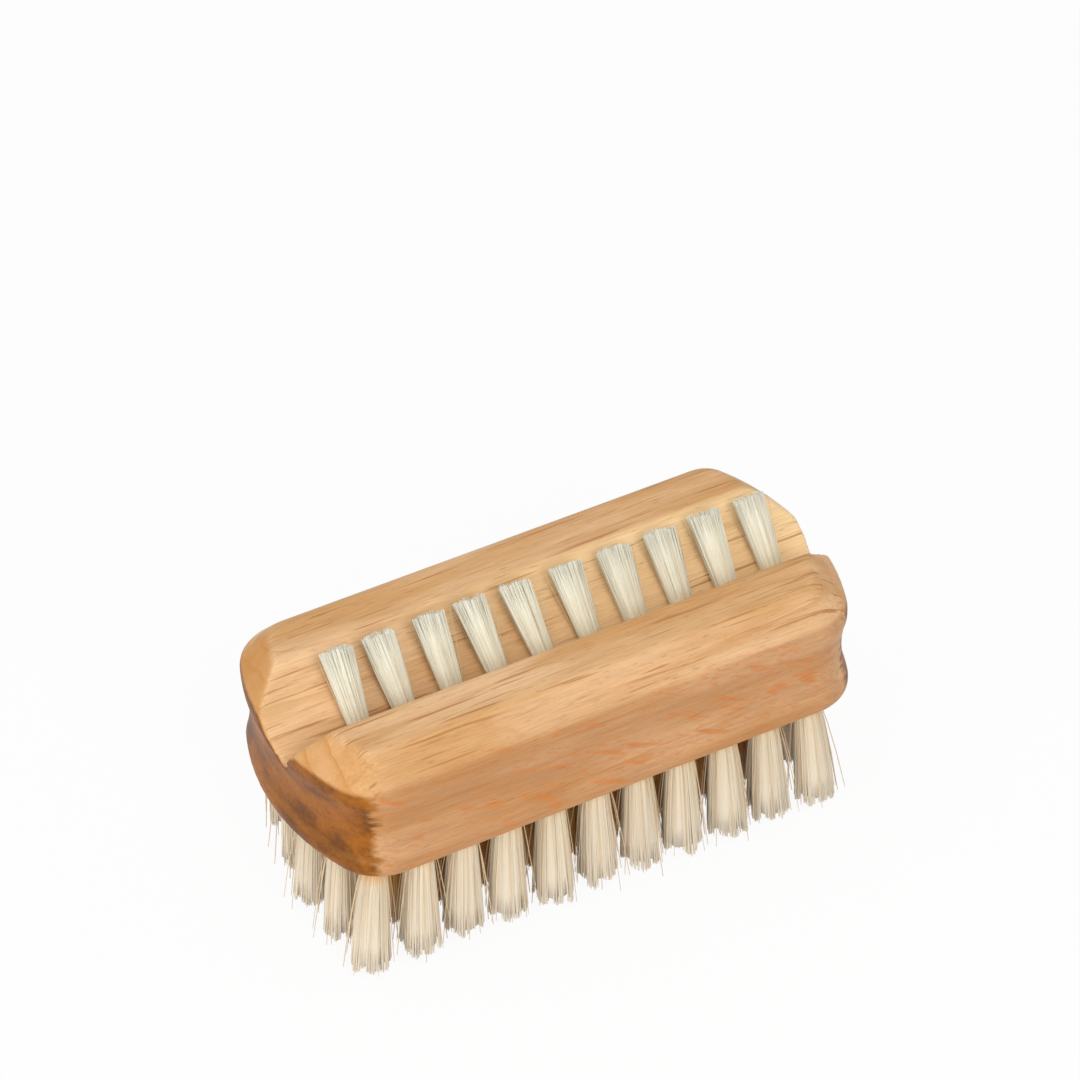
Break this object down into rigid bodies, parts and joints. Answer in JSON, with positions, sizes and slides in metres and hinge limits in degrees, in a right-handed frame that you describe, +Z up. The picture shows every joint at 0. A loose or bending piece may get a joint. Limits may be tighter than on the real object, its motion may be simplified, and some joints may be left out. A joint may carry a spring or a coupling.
{
  "type": "nail brush",
  "caption": "Wooden nail brush with bowed ends and a finger hollow moulded all round, rows of bristle tufts underneath and a leaning row in a trough on top.",
  "frame": {"origin": "middle of the footprint, in the plane of the lower bristle tips", "axes": "+X along the block, +Y towards the side that the top tufts lean to, +Z up from the lower tips to the top tufts"},
  "size_m": [0.095, 0.0448, 0.0459],
  "materials": {
    "oiled_beech": "fine grained beech, oiled, satin",
    "bristle": "natural off-white bristle",
    "anchor_wire": "drawn flat wire"
  },
  "bodies": {
    "root": {"block": "oiled_beech", "top_tuft_01": "bristle", "top_tuft_02": "bristle", "top_tuft_03": "bristle", "top_tuft_04": "bristle", "top_tuft_05": "bristle", "top_tuft_06": "bristle", "top_tuft_07": "bristle", "top_tuft_08": "bristle", "top_tuft_09": "bristle", "top_tuft_10": "bristle", "bottom_tufts_row_1": "bristle", "bottom_tufts_row_2": "bristle", "bottom_tufts_row_3": "bristle", "bottom_tufts_row_4": "bristle", "bottom_tufts_row_5": "bristle", "top_anchors": "anchor_wire", "bottom_anchors_row_1": "anchor_wire", "bottom_anchors_row_2": "anchor_wire", "bottom_anchors_row_3": "anchor_wire", "bottom_anchors_row_4": "anchor_wire", "bottom_anchors_row_5": "anchor_wire"}
  },
  "joints": []
}
